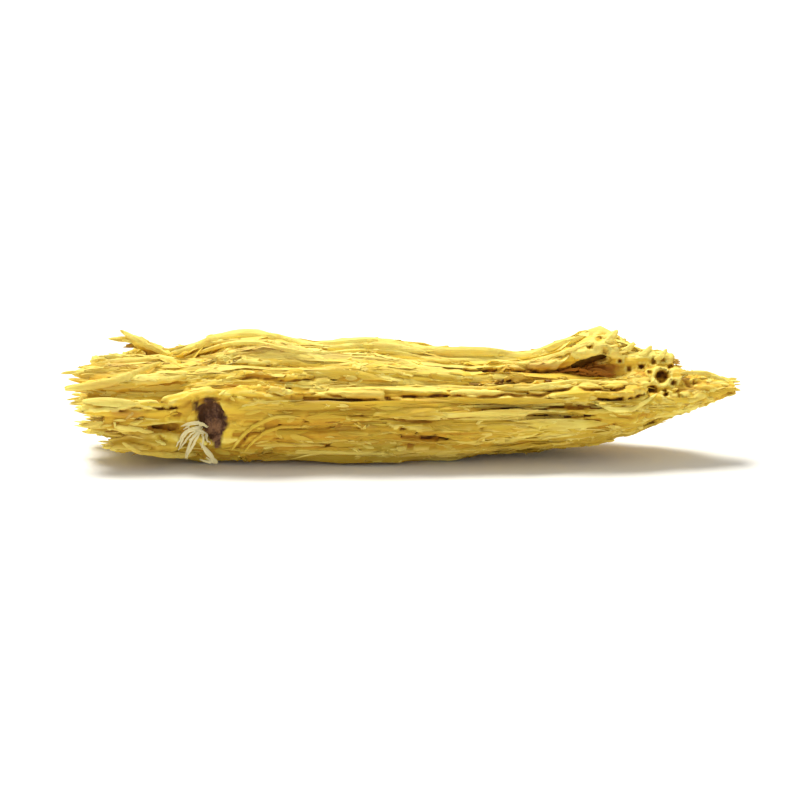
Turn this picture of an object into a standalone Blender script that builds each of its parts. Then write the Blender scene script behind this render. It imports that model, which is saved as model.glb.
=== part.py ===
"""One split piece of dried licorice root, lying on its flat underside.

+X runs along the grain, from the splintered end to the narrow tongue, +Y away from the front, +Z up.
The origin is on the surface that the piece lies on, under the middle of its length. Lengths are in metres.
"""

import math
import random

import bmesh
import bpy
from mathutils import Matrix, Vector, noise

MM = 0.001

# Driving dimensions
LEFT_END = -10.7 * MM  # where the solid wood breaks off, before the splinters
RIGHT_END = 11.95 * MM  # tip of the tongue
LENGTH = 24.0 * MM  # tip to tip, splinters included
SEED = 7

# The core: one row a station, as x, middle of the depth, half depth, underside, top, all in millimetres.
# The underside reaches a little below zero in the middle, and is cut flat there to rest on.
STATIONS = (
    (-10.9, 0.10, 1.50, 0.95, 2.95),
    (-9.8, 0.10, 1.90, 0.45, 3.25),
    (-8.2, 0.05, 2.10, 0.12, 3.30),
    (-6.8, 0.00, 2.25, 0.02, 3.66),
    (-5.2, 0.00, 2.30, -0.04, 3.82),
    (-3.4, 0.05, 2.25, -0.08, 3.50),
    (-1.4, 0.05, 2.20, -0.08, 3.55),
    (0.8, 0.00, 2.10, 0.06, 3.22),
    (3.0, 0.00, 2.00, 0.30, 3.14),
    (5.2, 0.00, 1.90, 0.46, 2.98),
    (6.8, 0.00, 1.80, 0.64, 2.92),
    (8.2, 0.00, 1.60, 0.90, 2.85),
    (9.4, -0.10, 1.25, 1.42, 2.85),
    (10.6, -0.25, 0.85, 1.92, 2.96),
    (11.4, -0.30, 0.64, 2.14, 2.86),
    (12.1, -0.30, 0.44, 2.42, 2.66),
)
UPPER_POWER = 0.70  # below 1 squares off the section, as a split stick's is
LOWER_POWER = 0.92  # the underside keeps more of the root's round
TOP_LEAN = 0.16  # the split top falls this much towards the front, for each unit of depth
CORE_STEPS = 44
CORE_POINTS = 40

# Relief of the core: long ribs that follow the grain, and slow swells across them
RIB_COUNT = 13
FINE_RIB_COUNT = 19
RIB_RELIEF = 0.11 * MM
FINE_RIB_RELIEF = 0.06 * MM
SWELL_RELIEF = 0.20 * MM
FULL_DEPTH = 1.8 * MM  # where the half depth is less than this, the relief is less too
BREAK_RELIEF = 0.55 * MM  # how far the broken end's points stand out along the grain

# Fibre bundles that stand out of the core all round it
BUNDLE_COUNT = 32
BUNDLE_LENGTHS = (4.5 * MM, 13.0 * MM)
BUNDLE_WIDTHS = (0.60 * MM, 1.25 * MM)
BUNDLE_THICKNESS = (0.60 * MM, 0.85 * MM)
BUNDLE_SINK = 0.14 * MM
GOLDEN_SHARE = 0.618  # of a turn from each bundle to the next, which spreads them evenly
BUNDLE_STEPS = 8
BLADE_POINTS = 8
START_SHARE = 0.35  # a splinter or layer starts this much of its size, inside the wood

# Splinters of the broken left end, in millimetres: root, tip, width, thickness, share of these at the tip
LEFT_SPLINTERS = (
    ((-7.6, -0.95, 3.15), (-12.00, -1.30, 2.80), 0.95, 0.62, 0.35),
    ((-7.8, -0.50, 3.20), (-11.75, -0.75, 3.20), 0.85, 0.60, 0.35),
    ((-7.6, 0.10, 3.30), (-11.20, 0.05, 3.50), 0.90, 0.62, 0.40),
    ((-7.8, 0.80, 2.98), (-10.05, 0.70, 4.22), 0.66, 0.58, 0.50),
    ((-7.9, -1.72, 2.20), (-11.30, -1.75, 2.30), 1.05, 0.65, 0.85),
    ((-8.0, -1.80, 1.55), (-10.90, -1.95, 1.65), 0.75, 0.60, 0.45),
    ((-7.7, -1.70, 0.95), (-10.40, -1.85, 0.85), 0.85, 0.60, 0.70),
    ((-8.4, 0.90, 2.60), (-11.70, 1.15, 2.85), 1.05, 0.70, 0.40),
    ((-8.2, 1.45, 1.70), (-11.35, 1.60, 1.75), 1.00, 0.65, 0.55),
    ((-8.8, 0.20, 1.90), (-11.60, 0.15, 2.05), 1.20, 0.80, 0.40),
    ((-8.8, -0.60, 1.30), (-11.25, -0.75, 1.25), 1.10, 0.70, 0.70),
    ((-8.4, 0.80, 0.95), (-11.10, 0.95, 0.85), 1.05, 0.65, 0.60),
)

# Layers that peel off the right end, in millimetres: middle line, width, thickness, share at tip
RIGHT_LAYERS = (
    (((2.2, -0.75, 2.85), (4.8, -0.85, 2.82), (6.6, -0.95, 2.75), (8.3, -0.80, 2.72)), 1.30, 0.60, 0.70),
    (((2.6, 0.60, 3.00), (5.0, 0.58, 3.24), (7.1, 0.60, 4.00), (8.3, 0.55, 3.12)), 1.70, 0.64, 0.75),
    (((4.4, 1.05, 2.95), (6.2, 1.05, 3.20), (7.2, 1.05, 3.42), (8.4, 0.95, 2.95)), 0.90, 1.30, 0.60),
    (((4.2, -1.35, 2.40), (6.2, -1.50, 2.45), (7.6, -1.45, 2.45), (8.6, -1.15, 2.60)), 0.95, 0.60, 0.60),
    (
        ((5.0, -1.60, 2.05), (6.9, -1.62, 2.12), (7.9, -1.48, 1.95), (8.7, -1.22, 2.15), (9.5, -0.95, 2.60)),
        0.80,
        0.62,
        0.60,
    ),
    (((6.0, 0.50, 2.90), (7.6, 0.55, 3.10), (8.8, 0.50, 3.34), (9.55, 0.45, 3.34)), 1.50, 0.64, 0.85),
    (((6.6, -0.40, 2.55), (8.3, -0.45, 2.80), (9.3, -0.50, 2.98), (10.0, -0.50, 2.98)), 1.10, 0.64, 0.80),
    (((6.5, 1.15, 2.30), (8.3, 1.05, 2.55), (9.5, 0.80, 2.65), (10.4, 0.60, 2.50)), 1.20, 0.70, 0.55),
    (((6.5, 1.10, 1.20), (8.0, 1.00, 1.45), (9.2, 0.75, 1.75), (10.0, 0.60, 1.90)), 1.20, 0.70, 0.55),
)

# Cords along the top, where the wood stands up in a ridge: the same values as for the layers
TOP_CORDS = (
    (
        (
            (-9.2, 0.65, 2.85),
            (-7.2, 0.90, 3.72),
            (-5.3, 0.95, 3.96),
            (-3.2, 0.95, 3.58),
            (-1.2, 1.00, 3.76),
            (1.2, 1.05, 3.38),
            (3.6, 1.00, 3.38),
            (5.6, 0.95, 3.10),
        ),
        1.00,
        0.62,
        0.40,
    ),
    (((-7.4, -0.35, 3.35), (-5.2, -0.25, 3.90), (-2.6, -0.30, 3.50), (-0.2, -0.20, 3.40)), 0.95, 0.60, 0.40),
)

# Splits that open along the grain: x and height of one end, then of the other, in millimetres
SPLIT_WIDTH = 0.34 * MM
SPLIT_DEPTH = 0.75 * MM
SPLIT_STEPS = 10
FRONT_SPLITS = (
    ((0.8, 2.62), (8.3, 2.28)),
    ((2.2, 3.02), (6.6, 2.98)),
    ((3.7, 2.02), (7.3, 1.98)),
    ((-5.6, 1.60), (0.2, 1.45)),
    ((-4.8, 2.85), (0.4, 2.70)),
    ((-9.9, 1.45), (-7.2, 1.50)),
    ((-0.9, 1.18), (2.4, 1.20)),
)
BACK_SPLITS = (
    ((-8.5, 2.60), (1.0, 2.75)),
    ((-2.0, 1.60), (6.5, 1.75)),
)

# The cavity under the highest layer of the right end: middle, size and turn about the depth
CAVITY_PLACE = Vector((6.95, -0.75, 3.16)) * MM
CAVITY_SIZE = Vector((2.60, 1.70, 0.62)) * MM
CAVITY_TURN = math.radians(-6)

# The scar of a side rootlet, low on the left of the front: a collar of cork round a hollow
SCAR_X = -6.9 * MM
SCAR_HEIGHT = 1.95 * MM
COLLAR_SIZE = Vector((1.80, 0.90, 2.20)) * MM
HOLLOW_SIZE = Vector((1.15, 1.10, 1.55)) * MM
COLLAR_SINK = 0.22 * MM  # how far the collar's middle is under the surface
HOLLOW_RISE = 0.22 * MM  # how far the hollow's middle is above it
SCAR_RAGGED = 0.12 * MM
SCAR_ROUGH_SIZE = 0.5 * MM

# Plates of cork left along the lower back: middle x, turn in degrees, length and width in millimetres
CORK_PLATES = (
    (-4.6, 338.0, 8.6, 2.3),
    (3.2, 330.0, 6.4, 2.0),
    (-1.2, 296.0, 3.6, 1.2),
)
CORK_THICKNESS = 0.70 * MM
CORK_SINK = 0.06 * MM
CORK_STEPS = 14

WOOD_COLOUR = (0.58, 0.40, 0.08, 1.0)
WOOD_ROUGHNESS = 0.75
SMOOTH_ANGLE = math.radians(32)  # meeting faces that turn less than this are shaded as one

TURN = 2 * math.pi


def clear_scene():
    for thing in list(bpy.data.objects):
        bpy.data.objects.remove(thing)


def collection(name):
    made = bpy.data.collections.new(name)
    bpy.context.scene.collection.children.link(made)
    return made


def loft(name, rings, into, cap_shift=0.0):
    """A closed solid through the rings, each with the same number of points, and a fan over each end."""
    bm = bmesh.new()
    rows = [[bm.verts.new(point) for point in ring] for ring in rings]
    for one, two in zip(rows, rows[1:]):
        for i, start in enumerate(one):
            j = (i + 1) % len(one)
            bm.faces.new((start, one[j], two[j], two[i]))
    for row, ring, way in ((rows[0], rings[0], -1), (rows[-1], rings[-1], 1)):
        middle = sum(ring, Vector()) / len(ring) + Vector((way * cap_shift, 0, 0))
        centre = bm.verts.new(middle)
        for i, start in enumerate(row):
            bm.faces.new((start, row[(i + 1) % len(row)], centre))
    bmesh.ops.recalc_face_normals(bm, faces=bm.faces)
    mesh = bpy.data.meshes.new(name)
    bm.to_mesh(mesh)
    bm.free()
    made = bpy.data.objects.new(name, mesh)
    into.objects.link(made)
    return made


def eased(keys, t):
    """A point of the smooth curve through the keys, for t from 0 at the first to 1 at the last."""
    spot = min(max(t, 0.0), 1.0) * (len(keys) - 1)
    i = min(int(spot), len(keys) - 2)
    u = spot - i
    before, start, end, after = (keys[max(i - 1, 0)], keys[i], keys[i + 1], keys[min(i + 2, len(keys) - 1)])
    return (
        start
        + (end - before) * (u / 2)
        + (before * 2 - start * 5 + end * 4 - after) * (u * u / 2)
        + (start * 3 - before - end * 3 + after) * (u * u * u / 2)
    )


def station(x):
    """Middle of the depth, half depth, underside and top of the core at x."""
    places = [row[0] * MM for row in STATIONS]
    i = max(k for k, place in enumerate(places[:-1]) if k == 0 or place <= x)
    share = (x - places[i]) / (places[i + 1] - places[i])
    rows = [Vector(row[1:]) * MM for row in STATIONS]
    return eased(rows, (i + share) / (len(rows) - 1))


def squared(value, power=UPPER_POWER):
    return math.copysign(abs(value) ** power, value)


def smooth_surface(x, turn):
    """The core's surface before relief. A turn of 0 faces back, a quarter turn up, a half turn front."""
    middle, half_depth, low, high = station(x)
    power = UPPER_POWER if math.sin(turn) > 0 else LOWER_POWER
    across = squared(math.cos(turn), power)
    up = squared(math.sin(turn), power)
    lean = TOP_LEAN * half_depth * across * max(up, 0.0)
    return Vector((x, middle + half_depth * across, (low + high) / 2 + (high - low) / 2 * up + lean))


def outward(x, turn):
    """The way out of the core's surface, square to the grain."""
    step = 0.01
    along = smooth_surface(x, turn + step) - smooth_surface(x, turn - step)
    return Vector((0, along.z, -along.y)).normalized()


def front_turn(x, height):
    """The turn at which the front of the core has this height."""
    _, _, low, high = station(x)
    share = min(max((height - (low + high) / 2) / ((high - low) / 2), -0.98), 0.98)
    return math.pi - math.asin(squared(share, 1 / (UPPER_POWER if share > 0 else LOWER_POWER)))


def relief(x, turn):
    """How far the grain's ribs and the slow swells move the surface out."""
    drift = 0.9 * math.sin(x / (4.1 * MM)) + x / (7.0 * MM)
    ribs = RIB_RELIEF * math.cos(RIB_COUNT * turn + drift)
    fine = FINE_RIB_RELIEF * math.cos(FINE_RIB_COUNT * turn - 1.6 * drift + 1.0)
    swell = noise.noise(Vector((x / (4.5 * MM), 1.3 * math.cos(turn), 1.3 * math.sin(turn))))
    return (ribs + fine + SWELL_RELIEF * swell) * min(1.0, station(x)[1] / FULL_DEPTH)


def core_ring(x, chance, ragged):
    ring = []
    for i in range(CORE_POINTS):
        turn = TURN * i / CORE_POINTS
        point = smooth_surface(x, turn) + outward(x, turn) * relief(x, turn)
        point.x += ragged * BREAK_RELIEF * chance.uniform(-1.0, 0.6)
        ring.append(point)
    return ring


def make_core(into, chance):
    """The solid wood, whose left end is broken across the grain and whose right end narrows to a tongue."""
    rings = []
    for k in range(CORE_STEPS + 1):
        x = LEFT_END + (RIGHT_END - LEFT_END) * k / CORE_STEPS
        rings.append(core_ring(x, chance, 1.0 if k == 0 else 0.0))
    return loft("licorice_root", rings, into, cap_shift=-0.3 * MM)


def blade_ring(centre, wide, thick, share, width, thickness):
    """A flat rounded section, as wide and thick as the share says."""
    ring = []
    for i in range(BLADE_POINTS):
        angle = TURN * (i + 0.5) / BLADE_POINTS
        ring.append(
            centre
            + wide * (share * width / 2 * squared(math.cos(angle)))
            + thick * (share * thickness / 2 * squared(math.sin(angle)))
        )
    return ring


def make_bundle(number, into, chance):
    """A fibre bundle that follows the core's surface, half sunk in it, and tapers out at both ends."""
    length = chance.uniform(*BUNDLE_LENGTHS)
    start = chance.uniform(LEFT_END + 0.4 * MM, RIGHT_END - 2.2 * MM - length)
    turn = TURN * (number * GOLDEN_SHARE + chance.uniform(-0.02, 0.02))
    drift = chance.uniform(-0.10, 0.10)
    width = chance.uniform(*BUNDLE_WIDTHS)
    thickness = chance.uniform(*BUNDLE_THICKNESS)
    rings = []
    for k in range(BUNDLE_STEPS + 1):
        t = k / BUNDLE_STEPS
        x = start + length * t
        here = turn + drift * t + 0.03 * math.sin(5 * t + number)
        out = outward(x, here)
        taper = 0.30 + 0.70 * math.sin(math.pi * min(max(t, 0.04), 0.96)) ** 0.45
        centre = smooth_surface(x, here) - out * (BUNDLE_SINK + thickness * 0.35 * (1 - taper))
        wide = Vector((0, -out.z, out.y))
        rings.append(blade_ring(centre, wide, out, taper, width, thickness))
    return loft(f"bundle_{number}", rings, into)


def make_blade(name, points, width, thickness, taper, into, chance):
    """A splinter or layer along a smooth path. Its last stretch narrows to the taper's share of its size."""
    path = [Vector(point) * MM for point in points]
    steps = 3 + 3 * len(path)
    lean = chance.uniform(-0.35, 0.35)
    rings = []
    for k in range(steps + 1):
        t = k / steps
        centre = eased(path, t)
        heading = (eased(path, min(t + 0.02, 1.0)) - eased(path, max(t - 0.02, 0.0))).normalized()
        wide = heading.cross(Vector((0, math.sin(lean), math.cos(lean)))).normalized()
        thick = wide.cross(heading).normalized()
        narrowing = 1.0 - (1.0 - taper) * max(0.0, (t - 0.45) / 0.55) ** 1.5
        share = narrowing * min(1.0, START_SHARE + t / 0.3)
        ring = blade_ring(centre, wide, thick, share, width * MM, thickness * MM)
        if k == steps:
            ring = [point + heading * chance.uniform(-0.22, 0.22) * MM for point in ring]
        rings.append(ring)
    return loft(name, rings, into)


def make_cork_plate(number, x_middle, turn_degrees, length, width, into):
    """A curved plate of cork on the core's outer side, with wavy edges and cross wrinkles."""
    rings = []
    for k in range(CORK_STEPS + 1):
        t = k / CORK_STEPS
        x = (x_middle + length * (t - 0.5)) * MM
        turn = math.radians(turn_degrees) + 0.05 * math.sin(4.0 * t + number)
        out = outward(x, turn)
        share = math.sin(math.pi * min(max(t, 0.05), 0.95)) ** 0.4
        share *= 1 + 0.16 * math.sin(13 * t + 2 * number)
        wrinkle = 1 + 0.18 * math.sin(23 * t + number)
        centre = smooth_surface(x, turn) - out * CORK_SINK
        wide = Vector((0, -out.z, out.y))
        rings.append(blade_ring(centre, wide, out, 1.0, width * share * MM, CORK_THICKNESS * wrinkle))
    return loft(f"cork_plate_{number}", rings, into)


def make_split(name, start, end, turn_at, into):
    """A thin double wedge along the surface, which cuts a split that opens along the grain."""
    rings = []
    for k in range(SPLIT_STEPS + 1):
        t = k / SPLIT_STEPS
        x = (start[0] + (end[0] - start[0]) * t) * MM
        height = (start[1] + (end[1] - start[1]) * t) * MM
        turn = turn_at(x, height) + 0.012 * math.sin(9 * t)
        out = outward(x, turn)
        wide = Vector((0, -out.z, out.y))
        share = max(math.sin(math.pi * t), 0.06)
        spot = smooth_surface(x, turn)
        rings.append(
            [
                spot + out * 0.9 * MM,
                spot + wide * (SPLIT_WIDTH / 2 * share) + out * 0.2 * MM,
                spot - out * (SPLIT_DEPTH * share),
                spot - wide * (SPLIT_WIDTH / 2 * share) + out * 0.2 * MM,
            ]
        )
    return loft(name, rings, into)


def back_turn(x, height):
    """The turn at which the back of the core has this height."""
    return math.pi - front_turn(x, height)


def make_scar_ball(name, size, rise, into):
    """An uneven ball at the scar, whose middle is this far out of the surface."""
    turn = front_turn(SCAR_X, SCAR_HEIGHT)
    spot = smooth_surface(SCAR_X, turn) + outward(SCAR_X, turn) * rise
    bpy.ops.mesh.primitive_uv_sphere_add(segments=16, ring_count=9, radius=0.5, location=spot)
    ball = bpy.context.active_object
    ball.name = name
    ball.scale = size
    bpy.ops.object.transform_apply(location=True, rotation=False, scale=True)
    for vertex in ball.data.vertices:
        rough = noise.noise(vertex.co / SCAR_ROUGH_SIZE)
        vertex.co += (vertex.co - spot).normalized() * (SCAR_RAGGED * rough)
    move_to(ball, into)
    return ball


def make_cavity(into):
    """A flat lens that hollows the wood out under the highest layer."""
    bpy.ops.mesh.primitive_uv_sphere_add(segments=16, ring_count=9, radius=0.5, location=CAVITY_PLACE)
    lens = bpy.context.active_object
    lens.name = "cavity"
    lens.scale = CAVITY_SIZE
    lens.rotation_euler = (0, CAVITY_TURN, 0)
    bpy.ops.object.transform_apply(location=True, rotation=True, scale=True)
    move_to(lens, into)
    return lens


def make_floor_cut(into):
    """A box under the piece, which cuts its underside flat."""
    size = Vector((1.4 * LENGTH, 0.5 * LENGTH, 0.25 * LENGTH))
    bpy.ops.mesh.primitive_cube_add(size=1.0, location=(0, 0, -size.z / 2))
    box = bpy.context.active_object
    box.name = "floor_cutter"
    box.scale = size
    bpy.ops.object.transform_apply(location=False, rotation=False, scale=True)
    move_to(box, into)
    return box


def move_to(thing, into):
    for held in list(thing.users_collection):
        held.objects.unlink(thing)
    into.objects.link(thing)


def combine(body, others, operation):
    """Joins the others to the body, or cuts them from it, and removes them."""
    boolean = body.modifiers.new(operation.lower(), "BOOLEAN")
    boolean.operation = operation
    boolean.operand_type = "COLLECTION"
    boolean.collection = others
    boolean.solver = "MANIFOLD"  # the exact solver leaves loose slivers where so many bundles cross
    bpy.context.view_layer.objects.active = body
    bpy.ops.object.modifier_apply(modifier=boolean.name)
    for thing in list(others.objects):
        bpy.data.objects.remove(thing)
    bpy.data.collections.remove(others)


def keep_largest_surface(body):
    """Removes the closed pockets that are left where bundles cross over each other."""
    bm = bmesh.new()
    bm.from_mesh(body.data)
    waiting = set(bm.faces)
    surfaces = []
    while waiting:
        reached = [waiting.pop()]
        for face in reached:
            near = {other for edge in face.edges for other in edge.link_faces} & waiting
            waiting -= near
            reached.extend(near)
        surfaces.append(reached)
    surfaces.sort(key=len)
    for surface in surfaces[:-1]:
        bmesh.ops.delete(bm, geom=surface, context="FACES")
    bm.to_mesh(body.data)
    bm.free()


def set_length_and_origin(body):
    """Scales the piece to its length, and puts the origin under the middle of its bounds."""
    points = [vertex.co for vertex in body.data.vertices]
    low = Vector(min(point[k] for point in points) for k in range(3))
    high = Vector(max(point[k] for point in points) for k in range(3))
    middle = (low + high) / 2
    shift = Matrix.Translation((-middle.x, -middle.y, -low.z))
    body.data.transform(Matrix.Scale(LENGTH / (high.x - low.x), 4) @ shift)


def root_material():
    made = bpy.data.materials.new("root_wood")
    made.use_nodes = True
    shader = made.node_tree.nodes["Principled BSDF"]
    shader.inputs["Base Color"].default_value = WOOD_COLOUR
    shader.inputs["Roughness"].default_value = WOOD_ROUGHNESS
    shader.inputs["Metallic"].default_value = 0.0
    return made


def main():
    clear_scene()
    chance = random.Random(SEED)
    kept = collection("licorice_root_piece")
    core = make_core(kept, chance)

    raised = collection("raised")
    for number in range(BUNDLE_COUNT):
        make_bundle(number, raised, chance)
    for number, (root, tip, width, thickness, taper) in enumerate(LEFT_SPLINTERS):
        make_blade(f"splinter_{number}", (root, tip), width, thickness, taper, raised, chance)
    for number, (points, width, thickness, taper) in enumerate(RIGHT_LAYERS + TOP_CORDS):
        make_blade(f"layer_{number}", points, width, thickness, taper, raised, chance)
    for number, plate in enumerate(CORK_PLATES):
        make_cork_plate(number, *plate, raised)
    make_scar_ball("collar", COLLAR_SIZE, -COLLAR_SINK, raised)
    combine(core, raised, "UNION")

    cut = collection("cut")
    for number, (start, end) in enumerate(FRONT_SPLITS):
        make_split(f"front_split_{number}", start, end, front_turn, cut)
    for number, (start, end) in enumerate(BACK_SPLITS):
        make_split(f"back_split_{number}", start, end, back_turn, cut)
    make_scar_ball("hollow", HOLLOW_SIZE, HOLLOW_RISE, cut)
    make_cavity(cut)
    make_floor_cut(cut)
    combine(core, cut, "DIFFERENCE")

    keep_largest_surface(core)
    set_length_and_origin(core)
    core.data.materials.clear()
    core.data.materials.append(root_material())
    core.select_set(True)
    bpy.context.view_layer.objects.active = core
    bpy.ops.object.shade_smooth_by_angle(angle=SMOOTH_ANGLE)


main()
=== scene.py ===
"""The looks of one split stick of dried licorice root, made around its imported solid.

+X runs along the grain from the splintered end to the tongue, +Y away from the camera, +Z up.
Lengths are in metres.
"""

import math
import random

import bpy
import numpy as np
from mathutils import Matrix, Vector, noise
from mathutils.bvhtree import BVHTree


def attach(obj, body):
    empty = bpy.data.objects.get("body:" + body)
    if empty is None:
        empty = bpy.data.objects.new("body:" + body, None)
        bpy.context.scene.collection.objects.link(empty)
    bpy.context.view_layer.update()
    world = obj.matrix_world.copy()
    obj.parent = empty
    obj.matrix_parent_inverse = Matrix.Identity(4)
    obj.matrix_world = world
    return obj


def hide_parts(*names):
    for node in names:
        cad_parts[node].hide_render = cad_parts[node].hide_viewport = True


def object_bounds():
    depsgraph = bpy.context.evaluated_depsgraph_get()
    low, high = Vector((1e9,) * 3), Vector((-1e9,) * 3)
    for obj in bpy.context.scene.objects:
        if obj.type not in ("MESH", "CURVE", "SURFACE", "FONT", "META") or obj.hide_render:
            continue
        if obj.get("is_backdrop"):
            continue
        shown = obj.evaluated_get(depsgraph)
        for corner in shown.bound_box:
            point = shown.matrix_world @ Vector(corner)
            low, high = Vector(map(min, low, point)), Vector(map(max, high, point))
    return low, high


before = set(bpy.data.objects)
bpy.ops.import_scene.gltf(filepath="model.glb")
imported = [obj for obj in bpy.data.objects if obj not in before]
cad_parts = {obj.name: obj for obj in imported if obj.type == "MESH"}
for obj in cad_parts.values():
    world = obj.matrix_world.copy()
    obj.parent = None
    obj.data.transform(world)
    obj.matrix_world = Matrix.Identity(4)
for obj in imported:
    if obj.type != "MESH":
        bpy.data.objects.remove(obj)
cad_low, cad_high = (Vector(corner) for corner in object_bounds())

MM = 0.001
SEED = 41
NODE = "licorice_root"
BODY = "root"
AXIS_HEIGHT = 1.85 * MM  # the grain's middle line runs this far above the table

# The camera stands in front of the stick, a little above it, with a long lens
CAMERA_ELEVATION = math.radians(16)
VIEW_AHEAD = Vector((0, math.cos(CAMERA_ELEVATION), -math.sin(CAMERA_ELEVATION)))
VIEW_UP = Vector((0, math.sin(CAMERA_ELEVATION), math.cos(CAMERA_ELEVATION)))
CAMERA_LENS = 200.0
SENSOR_WIDTH = 36.0
FRAME_WIDTH = 28.6 * MM  # what the picture is wide at the stick
FRAME_CENTRE = Vector((0.0, 0.0, 1.95 * MM))
CLIP_NEAR = 0.01
CLIP_FAR = 5.0

# The studio. Each light has a name, a place, a size, its watts and a colour.
FLOOR_SIZE = 2.4
PAPER = {"Base Color": (0.90, 0.90, 0.88, 1), "Roughness": 0.9, "Specular IOR Level": 0.1}
BACKDROP = {"Color": (1.0, 0.995, 0.98, 1), "Strength": 0.46}
LIGHTS = (
    ("key", (-0.07, 0.10, 0.26), 0.13, 1.20, (1.0, 0.97, 0.90)),
    ("front_fill", (0.16, -0.26, 0.14), 0.20, 0.10, (1.0, 0.98, 0.95)),
)

VIEW_SHIFT = 0.35 * MM  # heights in the picture are counted from this far below the table's line

# The skin of the wood. Widths and lengths without a unit of their own are in mm.
SKIN_VOXEL = 0.080 * MM
SKIN_SMOOTHING = 1
GRAIN_RIDGES = ((0.85, 12.0, 0.060), (0.40, 7.0, 0.070), (0.20, 3.5, 0.055))  # width, length, height in mm
NOISE_GAIN = 1.6  # brings the noise's usual values up to -1 and 1
GRAIN_WANDER = 0.22  # how far the ridges drift across the grain
WANDER_RATE = (0.16, 0.35)  # how fast they drift along it and across it
FULL_THICKNESS = 1.1 * MM  # thinner wood has less relief
THIN_RELIEF = 0.15  # the share of it that the thinnest wood has
RESTING_HEIGHT = 0.15 * MM  # the relief fades out below this, so that the skin lies flat on the table
SLIP_WIDTH = 0.36  # slips are where the wood has split off in flat flakes
SLIP_LENGTH = 2.4
SLIP_HEIGHT = 0.075 * MM
SLIP_RAGS = (0.35, 0.5)  # how ragged their ends are, and over what
SLIP_STAGGER = 0.74
SLIT_WIDTH = 0.62
SLIT_LENGTH = 6.5
SLIT_DEPTH = 0.15 * MM
SLIT_EDGE = 0.070
SLIT_BIAS = 0.12  # more than 0 opens more of the slits
NICK_WIDTH = 0.24  # nicks are shorter than slits
NICK_LENGTH = 0.9
NICK_FROM = 0.43
NICK_EDGE = 0.15
KNOB_SIZE = 0.30
KNOB_HEIGHT = 0.028 * MM
SPONGY_FROM = 6.1  # past this x the wood of the broken right end is full of pores
SPONGY_PARTS = ((7.4, 2.0, 1.0), (SPONGY_FROM, 3.4, 0.8))  # past which x, from which height up, how much so
SPONGY_KNOB_SIZE = 0.24
SPONGY_KNOBS = 0.075 * MM
PORE_SIZE = 0.27
PORE_RADIUS = 0.40  # as a share of the pores' size
PORE_DEPTH = 0.16 * MM

# Open vessels in the broken right end: x, height in the picture, radius and depth in mm
VESSELS = (
    (9.30, 3.04, 0.25, 0.60),
    (7.10, 4.40, 0.13, 0.25),
    (7.30, 3.98, 0.15, 0.25),
    (6.75, 4.12, 0.11, 0.20),
    (9.02, 3.60, 0.12, 0.22),
    (9.70, 2.86, 0.12, 0.22),
    (8.60, 3.42, 0.11, 0.20),
    (9.62, 3.40, 0.10, 0.18),
    (8.85, 3.20, 0.09, 0.16),
    (10.45, 2.84, 0.09, 0.14),
    (9.42, 2.44, 0.11, 0.20),
    (8.60, 2.60, 0.09, 0.14),
    (9.90, 2.38, 0.09, 0.14),
    (9.36, 3.64, 0.09, 0.15),
    (8.15, 3.32, 0.10, 0.16),
    (7.85, 3.62, 0.09, 0.15),
    (-3.93, 2.62, 0.13, 0.16),
)
VESSEL_REACH = 3.5  # in radii, how far behind and before its middle a vessel works on the skin
VESSEL_WALL = 1.15  # in radii, where its wall starts to sink
RIM_RADIUS = 1.25  # in radii, where its rim stands highest
RIM_WIDTH = 0.28
RIM_HEIGHT = 0.05  # in mm

# Grooves along the front: width and depth in mm, and then the line: x and height in the picture in mm
GROOVES = (
    (0.15, 0.22, ((0.1, 2.36), (2.2, 2.30), (4.4, 2.38), (6.2, 2.62), (7.9, 2.58))),
    (0.14, 0.22, ((7.0, 2.28), (8.0, 2.24), (8.6, 2.36), (9.0, 2.72))),
    (0.13, 0.20, ((1.6, 3.34), (3.6, 3.26), (5.2, 3.22), (6.4, 3.20))),
    (0.10, 0.14, ((2.6, 1.80), (4.2, 1.88), (5.8, 2.00))),
    (0.09, 0.13, ((4.8, 1.66), (6.9, 1.74))),
    (0.12, 0.18, ((6.55, 1.56), (7.05, 1.52))),
    (0.11, 0.17, ((-0.55, 1.02), (0.05, 1.00))),
    (0.11, 0.17, ((0.75, 0.95), (1.25, 0.93))),
    (0.10, 0.15, ((-3.10, 0.66), (-2.55, 0.60))),
    (0.11, 0.15, ((-3.6, 2.40), (-2.9, 2.43), (-2.0, 2.36))),
    (0.11, 0.15, ((-1.8, 1.74), (-1.0, 1.70))),
    (0.13, 0.18, ((-5.75, 0.62), (-5.35, 0.98), (-4.75, 1.16))),
    (0.11, 0.16, ((-9.9, 1.86), (-8.6, 1.90), (-7.9, 2.02))),
    (0.11, 0.14, ((-5.6, 2.98), (-4.0, 2.92), (-2.2, 3.02))),
)
GROOVE_WAVES = ((0.05, 0.35, 0.0), (0.03, 0.13, 1.0))  # height, length and start of their waves

# The skin faces the camera where its normal goes less than this much along the view
GROOVE_FACING = -0.15
VESSEL_FACING = 0.1
STAIN_SHADOW_FACING = 0.2

# Reddish brown on the front, stains and painted shadow under the top cord and lamina: x, height in the
# picture, half length and half height in mm, strength
STAIN_AND_SHADOW_SPOTS = (
    (6.95, 3.32, 1.05, 0.36, 1.0),
    (5.30, 3.42, 1.60, 0.14, 0.5),
    (10.3, 2.60, 0.45, 0.12, 0.4),
    (-9.60, 1.75, 0.70, 0.18, 0.6),
    (-4.90, 4.02, 1.30, 0.14, 0.5),
    (-9.90, 3.42, 0.50, 0.16, 0.5),
)

# Painted shade: how the wood nearby keeps light off a spot, which browns its colour there
SHELTER_RAYS = 14
SHELTER_REACH = 1.1 * MM
SHELTER_START = 0.03 * MM
SHELTER_FADE = 0.6  # how much less the farthest wood keeps off than the nearest

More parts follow.
